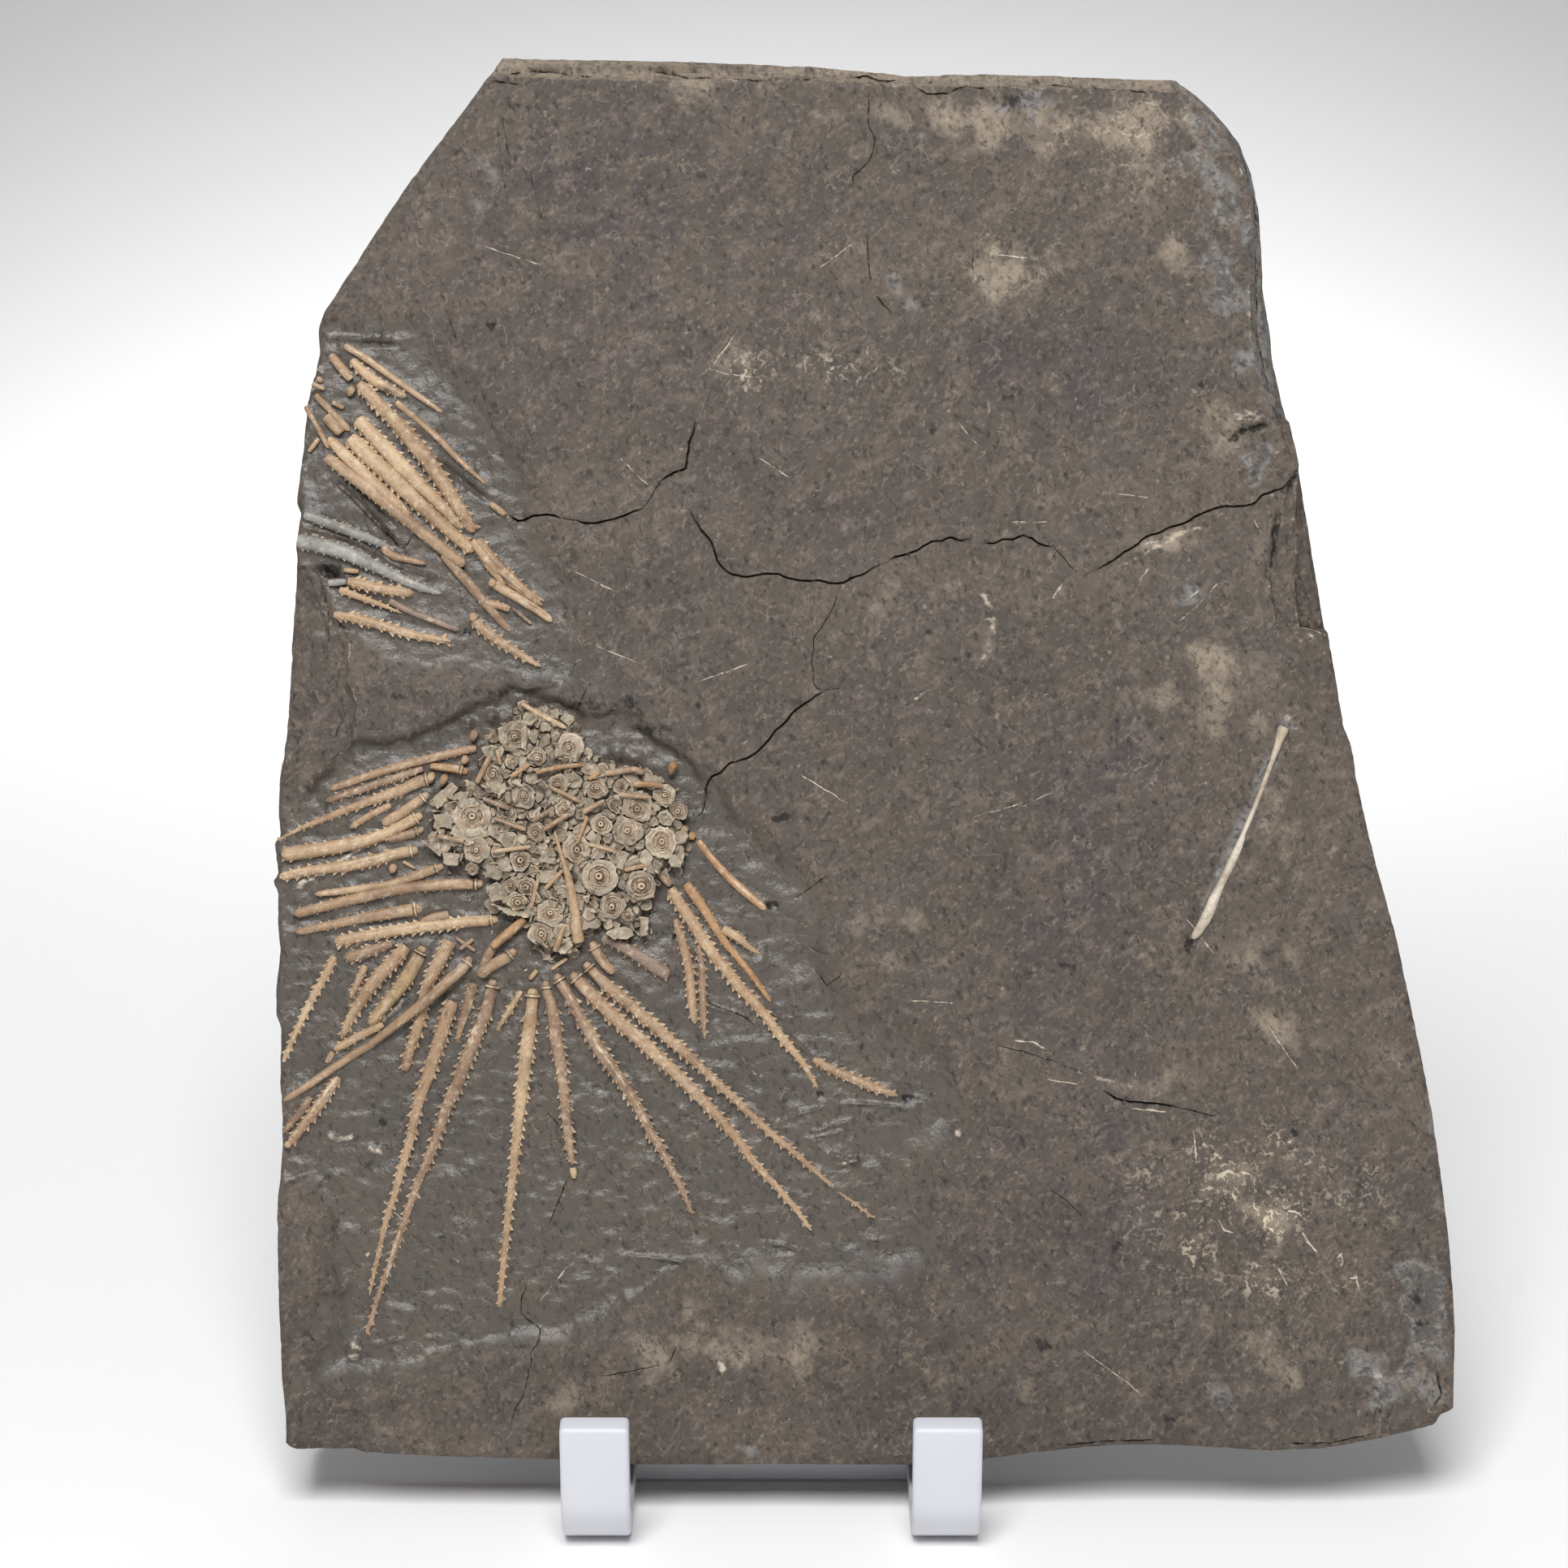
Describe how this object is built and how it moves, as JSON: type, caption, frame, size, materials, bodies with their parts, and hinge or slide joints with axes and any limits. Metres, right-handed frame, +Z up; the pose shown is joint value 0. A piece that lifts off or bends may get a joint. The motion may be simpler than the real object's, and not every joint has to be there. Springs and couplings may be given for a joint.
{
  "type": "fossil sea urchin",
  "caption": "Crushed fossil sea urchin with thorny spines spread over a dark shale slab that leans on a frosted bent-sheet easel",
  "frame": {"origin": "centre of the bounding box, on the surface that the easel stands on", "axes": "+Z up, +X to the right as one looks at the fossil, +Y to the back; the slab leans back towards +Y"},
  "size_m": [0.2186, 0.1066, 0.2616],
  "materials": {
    "shale": "split and hand-prepared dark grey-brown shale, dull",
    "spine": "tan calcite spines, faintly glossy",
    "test": "weathered calcite plates with ringed tubercles",
    "acrylic": "frosted clear acrylic sheet with polished edges"
  },
  "bodies": {
    "root": {"cluster_spine_01": "spine", "cluster_spine_02": "spine", "cluster_spine_03": "spine", "cluster_spine_04": "spine", "cluster_spine_05": "spine", "cluster_spine_06": "spine", "cluster_spine_07": "spine", "cluster_spine_08": "spine", "cluster_spine_09": "spine", "cluster_spine_10": "spine", "cluster_spine_11": "spine", "cluster_spine_12": "spine", "cluster_spine_13": "spine", "cluster_spine_14": "spine", "cluster_spine_15": "spine", "crushed_test": "test", "display_stand": "acrylic", "fan_spine_01": "spine", "fan_spine_02": "spine", "fan_spine_03": "spine", "fan_spine_04": "spine", "fan_spine_05": "spine", "fan_spine_06": "spine", "fan_spine_07": "spine", "fan_spine_08": "spine", "fan_spine_09": "spine", "fan_spine_10": "spine", "fan_spine_11": "spine", "fan_spine_12": "spine", "fan_spine_13": "spine", "fan_spine_14": "spine", "fan_spine_15": "spine", "fan_spine_16": "spine", "fan_spine_17": "spine", "fan_spine_18": "spine", "fan_spine_19": "spine", "fan_spine_20": "spine", "left_spine_01": "spine", "left_spine_02": "spine", "left_spine_03": "spine", "left_spine_04": "spine", "left_spine_05": "spine", "left_spine_06": "spine", "left_spine_07": "spine", "left_spine_08": "spine", "left_spine_09": "spine", "left_spine_10": "spine", "left_spine_11": "spine", "left_spine_12": "spine", "left_spine_13": "spine", "left_spine_14": "spine", "lone_spine": "spine", "right_spine_01": "spine", "right_spine_02": "spine", "right_spine_03": "spine", "right_spine_04": "spine", "right_spine_05": "spine", "right_spine_06": "spine", "right_spine_07": "spine", "slab": "shale"}
  },
  "joints": []
}
